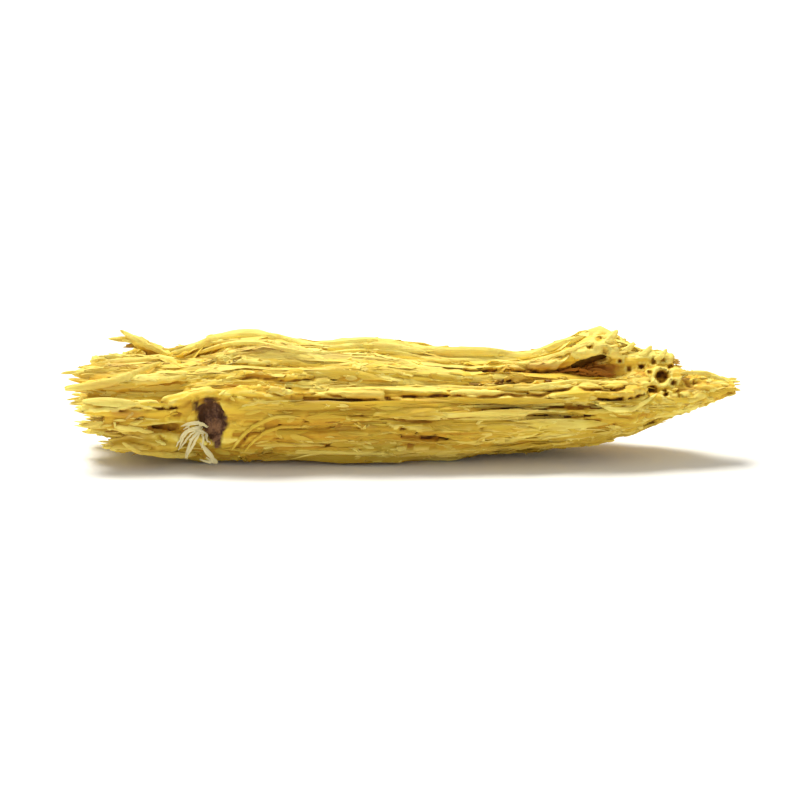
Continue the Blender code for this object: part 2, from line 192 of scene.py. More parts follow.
# The rootlet's scar on the front: the grain runs round it
SCAR_X = -6.62 * MM
SCAR_Z = 1.78 * MM
SCAR_HALF_WIDTH = 0.52 * MM
SCAR_HALF_HEIGHT = 0.92 * MM
SCAR_LEAN = 0.20 * MM
SCAR_TAPER = 0.45
SCAR_FRONT = -1.0 * MM  # the scar is on the skin before this y
SWIRL_RADIUS = 0.90 * MM
SWIRL_REACH = 3.6 * MM

# The cork is lumpy. It is left on the scar and in patches along the lower back, given by middle x in mm,
# turn in degrees, half length and half turn.
SCURF_SIZE = 0.26 * MM
SCURF_HEIGHT = 0.16 * MM
CORK_PATCHES = ((-4.6, -28.0, 4.4, 26.0), (3.2, -36.0, 3.3, 26.0), (-1.2, -66.0, 2.0, 18.0))
EDGE_RAGS = ((0.22, 0.45), (0.14, 0.16))  # how ragged the edges of cork and of stains and painted shadows are, and over what in mm

# How pale and how olive the wood is. Streaks have a width and a length in mm, a start and a strength.
# Part of the paleness is painted light from above, and part of the olive is painted shade low down
PALE_MIDDLE = 0.36
PALE_STREAKS = ((0.9, 6.0, 30.0, 0.28), (0.25, 3.0, 60.0, 0.24))
TOP_LIGHT_SLOPE = (1.9, 0.05)  # painted light from above: it gets paler upwards round this height, by this much for each mm
TOP_LIGHT_HIGH = (2.7, 0.26)  # and above this height by this much more
PALE_LEFT = (-8.0, 0.14)  # and past these x towards each end, for no more than the length given
PALE_RIGHT = (9.0, 0.10)
PALE_END_LENGTH = 2.0
SHADED_OLIVE_LOW = 0.85  # painted shade low down: how olive it is at the table, and how much less for each mm up
SHADED_OLIVE_FALL = 0.30
OLIVE_PATCHES = (1.5, 4.0, 90.0, 0.5)

# How much the skin's relief shows in its masks: painted shade in grooves, less on edges and rims, and
# painted highlight in the tint
FULL_BEND = 0.16
FULL_RELIEF = 0.16 * MM
SHELTER_FROM = {"groove": 0.24, "bend": 0.22, "rim": 0.5}
# Tint from bend and relief is painted highlight on edges and ridges, darker in low spots; slip and rim make
# flakes and vessel rims paler
TINT_AND_HIGHLIGHT_FROM = {"bend": 0.30, "relief": 0.20, "slip": 0.30, "rim": 0.6}

# No loose wood lies on spots with more cork or groove than this, or nearer than this to the rest
BARE_CORK = 0.2
BARE_GROOVE = 0.25
BARE_ROUND_SCAR = 1.25
BARE_ROUND_VESSELS = 1.5
FRONT_END = 0.6 * MM  # what only the front has isn't looked for past this y
TABLE_GAP = 0.15 * MM  # no fibres lie closer to the table than this
TABLE_LOWEST = 0.01 * MM

# The strip that all loose wood is bent from
STRIP_STEPS = 8
LONG_STEPS = 20
STRIP_CUT = 0.03  # the share of a full taper that is left off at each end
STRIP_TAPER = 0.6
TIP_SHARE = 0.15

# Loose wood: how many, and from and to of length, width, thickness and lift in mm, and of how much
# paler it is than the wood that it lies on. The splinters of the broken ends have no lift.
LATHS = (230, (2.0, 8.0), (0.14, 0.40), (0.06, 0.11), (0.0, 0.03), (-0.20, 0.20))
FLAKES = (430, (0.45, 1.6), (0.10, 0.30), (0.04, 0.09), (0.01, 0.08), (-0.28, 0.28))
TUFTS = (900, (0.20, 0.60), (0.08, 0.20), (0.05, 0.10), (0.01, 0.10), (0.0, 0.55))
RIDGE_FIBRES = (600, (1.0, 4.5), (0.04, 0.11), (0.03, 0.07), (0.0, 0.03), (-0.15, 0.35))
LIFTED_FIBRES = (80, (0.7, 2.2), (0.04, 0.09), (0.03, 0.06), (0.06, 0.26), (0.1, 0.5))
LEFT_STUBS = (190, (0.25, 1.00), (0.07, 0.20), (0.0, 0.5))
RIGHT_STUBS = (130, (0.12, 0.42), (0.07, 0.18), (0.0, 0.5))
FIBRE_DRIFT = 0.10  # radians round the grain from one end of a fibre to the other
FIBRE_TWIST = 0.4
FIBRE_SUNK = 0.15  # the share of its thickness that a fibre is sunk
LONGEST_STEP = 1.5  # a fibre ends where one step along it gets longer than this share of an even one
STUB_FACING = 0.35  # splinters grow where the skin faces its end by more than this
STUB_SUNK = 0.3  # the share of its length that a splinter is sunk
PALER_LOOSE = 0.1  # how much paler all loose wood is
LOOSE_STAIN_SHADOW_END = 0.8 * MM  # loose wood past this y has no stains or painted shadow

# Strands that the front shows, each as width and thickness in mm, how much paler it is than the wood under
# it, and then its line: x, height in the picture and lift off the wood, in mm
STRANDS = (
    (0.30, 0.14, 0.45, ((-11.85, 2.60, 0.05), (-10.1, 2.88, 0.06), (-8.5, 3.56, 0.0))),
    (0.26, 0.12, 0.45, ((-11.0, 3.52, 0.06), (-9.6, 3.58, 0.04), (-8.5, 3.70, 0.0))),
    (0.24, 0.12, 0.45, ((-10.0, 4.72, 0.05), (-9.2, 4.24, 0.03), (-8.3, 3.84, 0.0))),
    (0.34, 0.12, 0.35, ((-11.2, 2.16, 0.03), (-10.2, 2.14, 0.03), (-9.3, 2.08, 0.0))),
    (0.20, 0.10, 0.40, ((-10.1, 1.38, 0.16), (-9.4, 1.20, 0.06), (-8.7, 1.08, 0.0))),
    (0.18, 0.09, 0.30, ((-9.8, 0.68, 0.12), (-9.3, 0.45, 0.06), (-9.0, 0.30, 0.0))),
    (0.24, 0.10, 0.35, ((-9.2, 0.42, 0.05), (-8.2, 0.28, 0.10), (-7.2, 0.30, 0.0))),
    (0.15, 0.08, 0.30, ((-5.95, 0.45, 0.0), (-5.35, 1.15, 0.03), (-4.4, 1.62, 0.03), (-3.5, 1.60, 0.0))),
    (0.13, 0.08, 0.20, ((-5.50, 0.40, 0.0), (-4.95, 0.95, 0.03), (-4.1, 1.28, 0.03), (-3.0, 1.25, 0.0))),
    (0.16, 0.08, 0.35, ((-5.10, 0.62, 0.0), (-4.0, 0.66, 0.02), (-2.7, 0.62, 0.0))),
    (0.16, 0.08, 0.30, ((-3.70, 0.36, 0.0), (-2.2, 0.38, 0.02), (-0.5, 0.34, 0.0))),
    (0.20, 0.11, 0.40, ((6.9, 2.10, 0.0), (7.6, 1.88, 0.03), (8.3, 1.94, 0.03), (9.1, 2.44, 0.0))),
    (0.34, 0.14, 0.30, ((-2.6, 4.06, 0.0), (-1.3, 4.14, 0.04), (-0.2, 4.08, 0.03), (0.9, 3.92, 0.0))),
    (0.18, 0.09, 0.30, ((0.9, 2.72, 0.0), (4.0, 2.62, 0.02), (6.2, 2.86, 0.03), (7.6, 2.80, 0.0))),
    (0.14, 0.08, 0.25, ((2.0, 1.98, 0.0), (4.2, 2.05, 0.03), (6.6, 2.12, 0.0))),
    (0.14, 0.08, 0.10, ((1.4, 1.55, 0.0), (3.4, 1.58, 0.02), (5.8, 1.62, 0.0))),
    (0.20, 0.10, 0.50, ((9.95, 3.18, 0.0), (10.9, 3.16, 0.03), (11.7, 2.86, 0.0))),
    (0.13, 0.09, -0.3, ((5.4, 3.16, 0.04), (6.6, 3.20, 0.26), (7.7, 3.10, 0.05))),
    (0.12, 0.08, 0.0, ((6.6, 3.20, 0.04), (7.0, 3.23, 0.16), (7.5, 3.18, 0.05))),
    (0.11, 0.08, -0.2, ((6.0, 3.10, 0.04), (6.9, 3.13, 0.20), (7.6, 3.02, 0.02))),
    (0.26, 0.14, 0.50, ((7.30, 4.28, 0.0), (7.52, 4.44, 0.02), (7.75, 4.72, 0.05))),
    (0.22, 0.13, 0.40, ((7.90, 3.98, 0.0), (8.15, 4.06, 0.02), (8.36, 4.28, 0.04))),
    (0.22, 0.13, 0.45, ((8.50, 3.80, 0.0), (8.75, 3.90, 0.02), (8.97, 4.16, 0.04))),
    (0.20, 0.12, 0.40, ((9.05, 3.68, 0.0), (9.30, 3.78, 0.02), (9.50, 4.04, 0.04))),
)
STRAND_SLOPE = 0.6  # a strand goes deeper by no more than this for each unit of its length
STRAND_LIFT = 0.2  # and lies this share of its thickness above its line
STRAND_TWIST = 0.3
OFF_WOOD = 0.1 * MM  # it is off the wood where it lies more than this before it
CREST_CORD = (0.40, 0.20, 0.45, -8.2, 6.6)  # width, thickness, how much paler, and from and to x in mm
CREST_LENGTHS = (3.2, 5.5)
CREST_OVERLAP = 0.6
CREST_BELOW = (0.12, 0.42)  # how far the cord and the thinner strand lie under the edge
CREST_STEP = 0.9
CREST_TOP = 5.4  # the edge is looked for from this height down
EDGE_STEP = 0.02
EDGE_STEPS = 120

# Bleached hairs left of the scar, the same values as for the strands: each is laid as a few, side by side
HAIRS = (
    (0.09, 0.04, 0.3, ((-6.75, 1.30, 0.10), (-7.25, 1.40, 0.16), (-7.75, 1.15, 0.06))),
    (0.08, 0.04, 0.2, ((-7.00, 1.35, 0.08), (-7.50, 0.98, 0.16), (-7.90, 0.45, 0.03))),
    (0.08, 0.04, 0.2, ((-7.00, 1.25, 0.08), (-7.30, 0.72, 0.18), (-7.48, 0.10, 0.03))),
    (0.07, 0.04, 0.3, ((-7.45, 1.25, 0.05), (-7.05, 1.05, 0.14), (-6.85, 0.62, 0.10))),
    (0.13, 0.07, 0.6, ((-7.05, 0.72, 0.06), (-6.74, 0.36, 0.15), (-6.58, 0.10, 0.15), (-6.86, -0.02, 0.06))),
)
HAIRS_TOGETHER = 3
HAIR_SPREAD = 0.10
HAIR_LOWEST = -0.1


def tone(red, green, blue):
    """A linear colour from its 0 to 255 screen values."""
    values = [value / 255 for value in (red, green, blue)]
    return tuple(v / 12.92 if v <= 0.04045 else ((v + 0.055) / 1.055) ** 2.4 for v in values) + (1.0,)


STRAW = tone(254, 238, 128)
YELLOW = tone(237, 202, 66)
OCHRE = tone(192, 142, 32)
# Olive is the colour of the olive patches and of the painted shade low on the front
OLIVE = tone(180, 150, 38)
# Shade brown and deep brown are painted shade in sheltered spots; deep brown is also the colour of the
# cork's cracks
SHADE_BROWN = tone(150, 94, 16)
DEEP_BROWN = tone(74, 42, 14)
# Reddish brown for stains and for painted shadow under the top cord and lamina
STAIN_AND_SHADOW_RED = tone(158, 78, 18)
CORK_BROWN = tone(74, 44, 30)
CORK_GREY = tone(146, 106, 74)
HAIR_WHITE = tone(226, 212, 158)
BLOTCH_AMBER = tone(212, 160, 44)

# Patterns in the materials, in features a metre along X, Y and Z
STREAKS = (150, 1500, 1500)
THREADS = (520, 7600, 7600)
BLOTCHES = (420, 620, 620)
PORES = (2300, 9500, 9500)
SCURF = (2600, 3400, 3400)
CRACKS = (2100, 700, 700)

# The finish of the wood
WOOD_FINISH = {
    "Specular IOR Level": 0.28,
    "Subsurface Weight": 0.12,
    "Subsurface Radius": (0.9, 0.5, 0.15),
    "Subsurface Scale": 0.4 * MM,
}
BUMP_STRENGTH = 0.8
WOOD_BUMP = 0.05 * MM
HAIR_BUMP = 0.02 * MM
WOOD_ROUGHNESS = (0.62, 0.16)  # its least, and what pale threads add
HAIR_ROUGHNESS = 0.6
STREAK_SHARE = 0.35
THREAD_SHARE = 0.38
BLOTCH_SHARE = 0.25
STAIN_SHADOW_SHARE = 0.8


def unit(value):
    """The value kept from 0 to 1."""
    return min(max(value, 0.0), 1.0)


def only(thing):
    """Makes this the one selected and active object."""
    bpy.ops.object.select_all(action="DESELECT")
    thing.select_set(True)
    bpy.context.view_layer.objects.active = thing


def edit_all(thing, operator, **values):
    """Runs an operator of edit mode on all of the object."""
    only(thing)
    bpy.ops.object.mode_set(mode="EDIT")
    bpy.ops.mesh.select_all(action="SELECT")
    operator(**values)
    bpy.ops.object.mode_set(mode="OBJECT")


def link_new(name, mesh):
    made = bpy.data.objects.new(name, mesh)
    bpy.context.scene.collection.objects.link(made)
    return made


def apply_modifier(thing, kind, **values):
    only(thing)
    modifier = thing.modifiers.new(kind.lower(), kind)
    for key, value in values.items():
        setattr(modifier, key, value)
    bpy.ops.object.modifier_apply(modifier=modifier.name)


def points_of(mesh):
    points = np.empty(len(mesh.vertices) * 3)
    mesh.vertices.foreach_get("co", points)
    return points.reshape(-1, 3)


def normals_of(mesh):
    normals = np.empty(len(mesh.vertices) * 3)
    mesh.vertex_normals.foreach_get("vector", normals)
    return normals.reshape(-1, 3)


def write_mask(mesh, name, values):
    mask = mesh.attributes.new(name, "FLOAT", "POINT")
    mask.data.foreach_set("value", np.asarray(values, np.float32))


# Camera, floor and light


def place_camera():
    distance = FRAME_WIDTH * CAMERA_LENS / SENSOR_WIDTH
    bpy.ops.object.camera_add(location=FRAME_CENTRE - VIEW_AHEAD * distance)
    camera = bpy.context.active_object
    camera.rotation_euler = (-VIEW_AHEAD).to_track_quat("Z", "Y").to_euler()
    camera.data.lens = CAMERA_LENS
    camera.data.sensor_width = SENSOR_WIDTH
    camera.data.clip_start = CLIP_NEAR
    camera.data.clip_end = CLIP_FAR
    bpy.context.scene.camera = camera


def soft_light(name, place, size, watts, colour):
    """A square light that faces the middle of the stick."""
    bpy.ops.object.light_add(type="AREA", location=place)
    lamp = bpy.context.active_object
    lamp.name = name
    lamp.data.size = size
    lamp.data.energy = watts
    lamp.data.color = colour
    lamp.rotation_euler = (Vector(place) - FRAME_CENTRE).to_track_quat("Z", "Y").to_euler()


def set_studio():
    bpy.ops.mesh.primitive_plane_add(size=FLOOR_SIZE, location=(0, 0, 0))
    floor = bpy.context.active_object
    floor.name = "studio_floor"
    paper = bpy.data.materials.new("pale_paper")
    paper.use_nodes = True
    shader = paper.node_tree.nodes["Principled BSDF"]
    set_values(shader, PAPER)
    floor.data.materials.append(paper)
    floor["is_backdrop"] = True

    world = bpy.data.worlds.new("studio")
    bpy.context.scene.world = world
    world.use_nodes = True
    backdrop = world.node_tree.nodes["Background"]
    set_values(backdrop, BACKDROP)

    for light in LIGHTS:
        soft_light(*light)
    bpy.context.scene.view_settings.view_transform = "Standard"


# Shader groups


def new_group(name, inputs, outputs):
    """A shader node group with these sockets: returns its tree, its input node and its output node."""
    tree = bpy.data.node_groups.new(name, "ShaderNodeTree")
    for socket, kind, value in inputs:
        made = tree.interface.new_socket(socket, in_out="INPUT", socket_type=kind)
        made.default_value = value
    for socket, kind in outputs:
        tree.interface.new_socket(socket, in_out="OUTPUT", socket_type=kind)
    return tree, tree.nodes.new("NodeGroupInput"), tree.nodes.new("NodeGroupOutput")


def node(tree, kind, **values):
    made = tree.nodes.new(kind)
    for key, value in values.items():
        setattr(made, key, value)
    return made


def set_values(made, values):
    """Sets a node's inputs, by their names."""
    for socket, value in values.items():
        made.inputs[socket].default_value = value


def noise_at(tree, coordinates, stretch, detail=3.0, roughness=0.55):
    """Noise on the coordinates, stretched: the stretch is in features a metre along X, Y and Z."""
    scaled = node(tree, "ShaderNodeVectorMath", operation="MULTIPLY")
    scaled.inputs[1].default_value = stretch
    tree.links.new(coordinates, scaled.inputs[0])
    pattern = node(tree, "ShaderNodeTexNoise")
    set_values(pattern, {"Scale": 1.0, "Detail": detail, "Roughness": roughness})
    tree.links.new(scaled.outputs[0], pattern.inputs["Vector"])
    return pattern.outputs["Fac"]


def ramp(tree, value, low, high):
    """The value taken from low to high onto 0 to 1, eased."""
    made = node(tree, "ShaderNodeMapRange", interpolation_type="SMOOTHSTEP")
    set_values(made, {"From Min": low, "From Max": high})
    tree.links.new(value, made.inputs["Value"])
    return made.outputs["Result"]


def math_node(tree, operation, first, second):
    made = node(tree, "ShaderNodeMath", operation=operation)
    for socket, value in zip(made.inputs, (first, second)):
        if isinstance(value, (int, float)):
            socket.default_value = value
        else:
            tree.links.new(value, socket)
    return made.outputs[0]


def mix_colour(tree, factor, first, second):
    made = node(tree, "ShaderNodeMix", data_type="RGBA")
    for socket, value in ((made.inputs[0], factor), (made.inputs[6], first), (made.inputs[7], second)):
        if isinstance(value, (int, float, tuple)):
            socket.default_value = value
        else:
            tree.links.new(value, socket)
    return made.outputs[2]


def object_coordinates(tree):
    return node(tree, "ShaderNodeTexCoord").outputs["Object"]


def make_fibre_group():
    """Streaks and threads that run along X, blotches, and the height of threads and pores."""
    tree, given, put = new_group(
        "wood_fibres",
        [("Thread Depth", "NodeSocketFloat", 1.0)],
        [(name, "NodeSocketFloat") for name in ("Streaks", "Threads", "Blotches", "Height")],
    )
    here = object_coordinates(tree)
    streaks = noise_at(tree, here, STREAKS)
    threads = noise_at(tree, here, THREADS, detail=4.0, roughness=0.62)
    blotches = noise_at(tree, here, BLOTCHES, detail=2.0)
    pores = noise_at(tree, here, PORES, detail=2.0)
    rough = math_node(tree, "MULTIPLY", threads, given.outputs["Thread Depth"])
    rough = math_node(tree, "ADD", rough, math_node(tree, "MULTIPLY", pores, 0.35))
    tree.links.new(ramp(tree, streaks, 0.34, 0.66), put.inputs["Streaks"])
    tree.links.new(ramp(tree, threads, 0.32, 0.64), put.inputs["Threads"])
    tree.links.new(ramp(tree, blotches, 0.36, 0.66), put.inputs["Blotches"])
    tree.links.new(rough, put.inputs["Height"])
    return tree


def make_cork_group():
    """Dry cork: grey brown, with cracks across the root and a scurfy skin."""
    tree, given, put = new_group(
        "cork_skin",
        [("Dark", "NodeSocketColor", CORK_BROWN), ("Pale", "NodeSocketColor", CORK_GREY)],
        [("Colour", "NodeSocketColor"), ("Height", "NodeSocketFloat")],
    )
    here = object_coordinates(tree)
    scurf = noise_at(tree, here, SCURF, detail=5.0, roughness=0.7)
    cracks = noise_at(tree, here, CRACKS)
    shade = mix_colour(tree, ramp(tree, scurf, 0.38, 0.66), given.outputs["Dark"], given.outputs["Pale"])
    opened = ramp(tree, cracks, 0.40, 0.50)
    tree.links.new(mix_colour(tree, opened, DEEP_BROWN, shade), put.inputs["Colour"])
    tree.links.new(math_node(tree, "ADD", scurf, opened), put.inputs["Height"])
    return tree


def make_crevice_group():
    """Painted shade: browns a colour where the wood nearby keeps light off a spot."""
    tree, given, put = new_group(
        "painted_crevice_shade",
        [("Colour", "NodeSocketColor", STRAW), ("Painted Shade", "NodeSocketFloat", 0.0)],
        [("Colour", "NodeSocketColor")],
    )
    first = ramp(tree, given.outputs["Painted Shade"], 0.32, 0.80)
    second = ramp(tree, given.outputs["Painted Shade"], 0.76, 1.0)
    shade_share = math_node(tree, "MULTIPLY", first, 0.76)
    warm = mix_colour(tree, shade_share, given.outputs["Colour"], SHADE_BROWN)
    deep = mix_colour(tree, math_node(tree, "MULTIPLY", second, 0.8), warm, DEEP_BROWN)
    tree.links.new(deep, put.inputs["Colour"])
    return tree


def place_group(tree, group):
    made = node(tree, "ShaderNodeGroup")
    made.node_tree = group
    return made


def mask(tree, name):
    return node(tree, "ShaderNodeAttribute", attribute_name=name).outputs["Fac"]


def finish_shader(material, colour, height, bump_distance, roughness):
    tree = material.node_tree
    shader = tree.nodes["Principled BSDF"]
    tree.links.new(colour, shader.inputs["Base Color"])
    bump = node(tree, "ShaderNodeBump")
    set_values(bump, {"Distance": bump_distance, "Strength": BUMP_STRENGTH})
    tree.links.new(height, bump.inputs["Height"])
    tree.links.new(bump.outputs["Normal"], shader.inputs["Normal"])
    if isinstance(roughness, float):
        shader.inputs["Roughness"].default_value = roughness
    else:
        tree.links.new(roughness, shader.inputs["Roughness"])
    set_values(shader, WOOD_FINISH)


def root_wood(groups):
    """The split wood: straw and yellow fibres, browned as painted shade where they are sheltered, and cork
    where it is left.
    """
    made = bpy.data.materials.new("root_wood")
    made.use_nodes = True
    tree = made.node_tree
    fibres = place_group(tree, groups["fibres"])
    cork = place_group(tree, groups["cork"])
    crevice = place_group(tree, groups["crevice"])
    streaked = math_node(tree, "MULTIPLY", fibres.outputs["Streaks"], STREAK_SHARE)
    # The tint holds the wood's own paleness and painted light: paler upwards, on edges and on ridges
    pale = math_node(tree, "ADD", streaked, mask(tree, "tint_and_light"))
    # Olive is partly painted shade, more olive low on the front
    middling = mix_colour(tree, mask(tree, "olive_and_low_shade"), YELLOW, OLIVE)
    colour = mix_colour(tree, ramp(tree, pale, 0.05, 0.50), OCHRE, middling)
    colour = mix_colour(tree, ramp(tree, pale, 0.50, 1.20), colour, STRAW)
    dark_threads = math_node(tree, "SUBTRACT", 1.0, fibres.outputs["Threads"])
    colour = mix_colour(tree, math_node(tree, "MULTIPLY", dark_threads, THREAD_SHARE), colour, OCHRE)
    blotched = math_node(tree, "MULTIPLY", fibres.outputs["Blotches"], BLOTCH_SHARE)
    colour = mix_colour(tree, blotched, colour, BLOTCH_AMBER)
    # Reddish brown: stains, and painted shadow under the top cord and lamina
    stain_shadow_mix = math_node(tree, "MULTIPLY", mask(tree, "stain_and_shadow"), STAIN_SHADOW_SHARE)
    colour = mix_colour(tree, stain_shadow_mix, colour, STAIN_AND_SHADOW_RED)
    tree.links.new(colour, crevice.inputs["Colour"])
    # Painted shade: the colour is browned where the wood nearby keeps light off
    tree.links.new(mask(tree, "painted_shade"), crevice.inputs["Painted Shade"])
    corked = mask(tree, "cork")
    colour = mix_colour(tree, corked, crevice.outputs["Colour"], cork.outputs["Colour"])
    cork_height = math_node(tree, "MULTIPLY", cork.outputs["Height"], corked)
    height = math_node(tree, "ADD", fibres.outputs["Height"], cork_height)
    least, more = WOOD_ROUGHNESS
    roughness = math_node(tree, "ADD", least, math_node(tree, "MULTIPLY", fibres.outputs["Threads"], more))
    finish_shader(made, colour, height, WOOD_BUMP, roughness)
    return made


def root_hair(groups):
    """Bleached curly fibres."""
    made = bpy.data.materials.new("root_hair")
    made.use_nodes = True
    tree = made.node_tree
    fibres = place_group(tree, groups["fibres"])
    colour = mix_colour(tree, fibres.outputs["Blotches"], HAIR_WHITE, STRAW)
    finish_shader(made, colour, fibres.outputs["Height"], HAIR_BUMP, HAIR_ROUGHNESS)
    return made


# The skin of the wood


def streak_value(x, y, z, width, length, start=0.0):
    """The noise of streaks along X that are this wide and long. Each start gives other streaks."""
    return noise.noise(Vector((x / length, y / width, z / width + start)))


def round_the_scar(x, z):
    """The height at which the grain line through this spot of the front runs far from the scar."""
    across, along = z - SCAR_Z, x - SCAR_X
    squared = across * across + along * along
    fade = max(0.0, 1.0 - math.sqrt(squared) / SWIRL_REACH)
    return SCAR_Z + across * (1.0 - fade * min(1.0, SWIRL_RADIUS**2 / max(squared, 1e-12)))


def grain_spot(point):
    """A point of the skin in mm, moved so that the grain's lines, which drift a little, run along X."""
    height = round_the_scar(point.x, point.z) if point.y < 0 else point.z
    x, y, z = point.x / MM, point.y / MM, height / MM
    along, across = WANDER_RATE
    y += GRAIN_WANDER * noise.noise(Vector((x * along, 4.2, z * across)))
    z += GRAIN_WANDER * noise.noise(Vector((x * along, 11.7, y * across)))
    return x, y, z


def slip_value(x, y, z):
    """From -0.5 to 0.5, one value for each flat flake that the wood has split off in."""
    strength, size = SLIP_RAGS
    ragged = strength * noise.noise(Vector((x, y, z)) / size)
    staggered = x / SLIP_LENGTH + ragged + SLIP_STAGGER * math.floor(z / SLIP_WIDTH)
    return noise.cell(Vector((staggered, y / SLIP_WIDTH, z / SLIP_WIDTH))) - 0.5


def spongy_share(point):
    """1 in the broken right end above the tongue, 0 in sound wood."""
    x, z = point.x / MM, point.z / MM
    return max(share * unit((x - start) / 0.7) * unit((z - low) / 0.4) for start, low, share in SPONGY_PARTS)


def grain_relief(point):
    """How far the wood stands out here in metres, how open it is from 0 to 1, and its flake's value."""
    x, y, z = grain_spot(point)
    spongy = spongy_share(point)
    raised = 0.0
    for width, length, tall in GRAIN_RIDGES:
        raised += tall * MM * NOISE_GAIN * streak_value(x, y, z, width, length)
    slip = slip_value(x, y, z)
    knobs = KNOB_HEIGHT * noise.noise(Vector((x, y, z)) / KNOB_SIZE)
    raised += SLIP_HEIGHT * slip * (1.0 - spongy) + knobs
    line = abs(streak_value(x + 40.0, y, z, SLIT_WIDTH, SLIT_LENGTH))
    open_here = noise.noise(Vector((x * 0.3, y * 0.5, z * 0.5 + 20.0))) + SLIT_BIAS
    opened = max(0.0, 1.0 - line / SLIT_EDGE) * unit(open_here * 3.0) * (1.0 - spongy)
    nick = streak_value(x + 70.0, y + 0.25 * x, z + 0.25 * x, NICK_WIDTH, NICK_LENGTH)
    opened = max(opened, unit((nick - NICK_FROM) / NICK_EDGE))
    if spongy > 0.0:
        raised += spongy * SPONGY_KNOBS * noise.noise(point / (SPONGY_KNOB_SIZE * MM))
        nearest = noise.voronoi(point / (PORE_SIZE * MM))[0][0]
        opened = max(opened, spongy * max(0.0, 1.0 - nearest / PORE_RADIUS))
    return raised, opened, slip


def make_skin():
    """The node's own shape, with an even fine mesh, the grain's relief and the open vessels on it."""
    skin = link_new("root_skin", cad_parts[NODE].data.copy())
    edit_all(skin, bpy.ops.mesh.remove_doubles, threshold=0.001 * MM)
    apply_modifier(skin, "REMESH", mode="VOXEL", voxel_size=SKIN_VOXEL)
    apply_modifier(skin, "SMOOTH", factor=0.5, iterations=SKIN_SMOOTHING)
    mesh = skin.data
    points, normals = points_of(mesh), normals_of(mesh)
    tree = BVHTree.FromObject(skin, bpy.context.evaluated_depsgraph_get())
    reliefs = np.array([grain_relief(Vector(point)) for point in points])
    thin = np.array([thickness_share(tree, Vector(p), Vector(n)) for p, n in zip(points, normals)])
    resting = np.clip(points[:, 2] / RESTING_HEIGHT, 0.0, 1.0)
    slit_depth = np.where(points[:, 0] > SPONGY_FROM * MM, PORE_DEPTH, SLIT_DEPTH) * reliefs[:, 1]
    corks = np.array([cork_share(Vector(point)) for point in points])
    scurf = np.array([noise.noise(Vector(point) / SCURF_SIZE) for point in points])
    raised = reliefs[:, 0] * (1.0 - corks) + SCURF_HEIGHT * scurf * corks
    moved = points + normals * ((raised - slit_depth * (1.0 - corks)) * resting * thin)[:, None]
    rims = open_vessels(moved, normals, tree)
    grooves = cut_grooves(moved, normals)
    reliefs[:, 1] = np.maximum(reliefs[:, 1], grooves)
    moved[:, 2] = np.maximum(moved[:, 2], 0.0)
    mesh.vertices.foreach_set("co", moved.reshape(-1))
    mesh.update()
    only(skin)
    bpy.ops.object.shade_smooth()
    return skin, reliefs, rims


def line_distance(x, height, line):
    """How far spots of the picture are from a line through these points, in mm."""
    best = np.full(np.shape(x), 1e9)
    for (x_one, h_one), (x_two, h_two) in zip(line, line[1:]):
        run, rise = x_two - x_one, h_two - h_one
        share = np.clip(((x - x_one) * run + (height - h_one) * rise) / (run * run + rise * rise), 0.0, 1.0)
        best = np.minimum(best, np.hypot(x - x_one - share * run, height - h_one - share * rise))
    return best


def groove_shares(x, height):
    """1 along the middle of each groove, 0 away from all of them, and how deep it is there in mm."""
    shares, depths = np.zeros(np.shape(x)), np.zeros(np.shape(x))
    for width, depth, line in GROOVES:
        share = np.clip(1.0 - line_distance(x, height, line) / (0.75 * width), 0.0, 1.0)
        shares = np.maximum(shares, share)
        depths = np.maximum(depths, share * depth)
    return shares, depths


def cut_grooves(points, normals):
    """Sinks the grooves of the front into the points, and returns from 0 to 1 how much each is in one."""
    ahead, up = np.array(VIEW_AHEAD), np.array(VIEW_UP)
    facing = normals @ ahead < GROOVE_FACING
    wavy = sum(tall * np.sin(points[:, 0] / (length * MM) + start) for tall, length, start in GROOVE_WAVES)
    shares, depths = groove_shares(points[:, 0] / MM, (points @ up + VIEW_SHIFT) / MM + wavy)
    points += ahead * (depths * facing * MM)[:, None]
    return shares * facing


def kept_bare(place):
    """Whether a spot is on cork, in a groove or on an open vessel, where no loose wood lies."""
    x, height = place.x / MM, (place.dot(VIEW_UP) + VIEW_SHIFT) / MM
    if cork_share(place) > BARE_CORK or (place.y < 0 and scar_distance(place) < BARE_ROUND_SCAR):
        return True
    if place.y > FRONT_END:
        return False
    for vessel_x, vessel_height, radius, _ in VESSELS:
        if math.hypot(x - vessel_x, height - vessel_height) < BARE_ROUND_VESSELS * radius:
            return True
    share, _ = groove_shares(np.array(x), np.array(height))
    return share > BARE_GROOVE


def open_vessels(points, normals, tree):
    """Sinks each vessel into the points, and returns from 0 to 1 how much each is on a vessel's rim."""
    rims = np.zeros(len(points))
    ahead, up = np.array(VIEW_AHEAD), np.array(VIEW_UP)
    facing = normals @ ahead < VESSEL_FACING
    for x, height, radius, depth in VESSELS:
        spot = view_spot(tree, x, height)
        if spot is None:
            continue
        away = points - np.array(spot[0])
        near = facing & (np.abs(away @ ahead) < VESSEL_REACH * radius * MM)
        radii = np.hypot(away[:, 0], away @ up) / (radius * MM)
        sunk = np.clip(VESSEL_WALL - radii, 0.0, 0.5) / 0.5 * near
        rim = np.exp(-(((radii - RIM_RADIUS) / RIM_WIDTH) ** 2)) * near
        points += ahead * (sunk * depth * MM)[:, None] - ahead * (rim * RIM_HEIGHT * MM)[:, None]
        rims = np.maximum(rims, rim)
    return rims


def thickness_share(tree, point, normal):
    """1 where the wood is thick under this spot of the skin, less where it is thin."""
    _, _, _, distance = tree.ray_cast(point - normal * (0.01 * MM), -normal, FULL_THICKNESS)
    if distance is None:
        return 1.0
    return THIN_RELIEF + (1.0 - THIN_RELIEF) * distance / FULL_THICKNESS


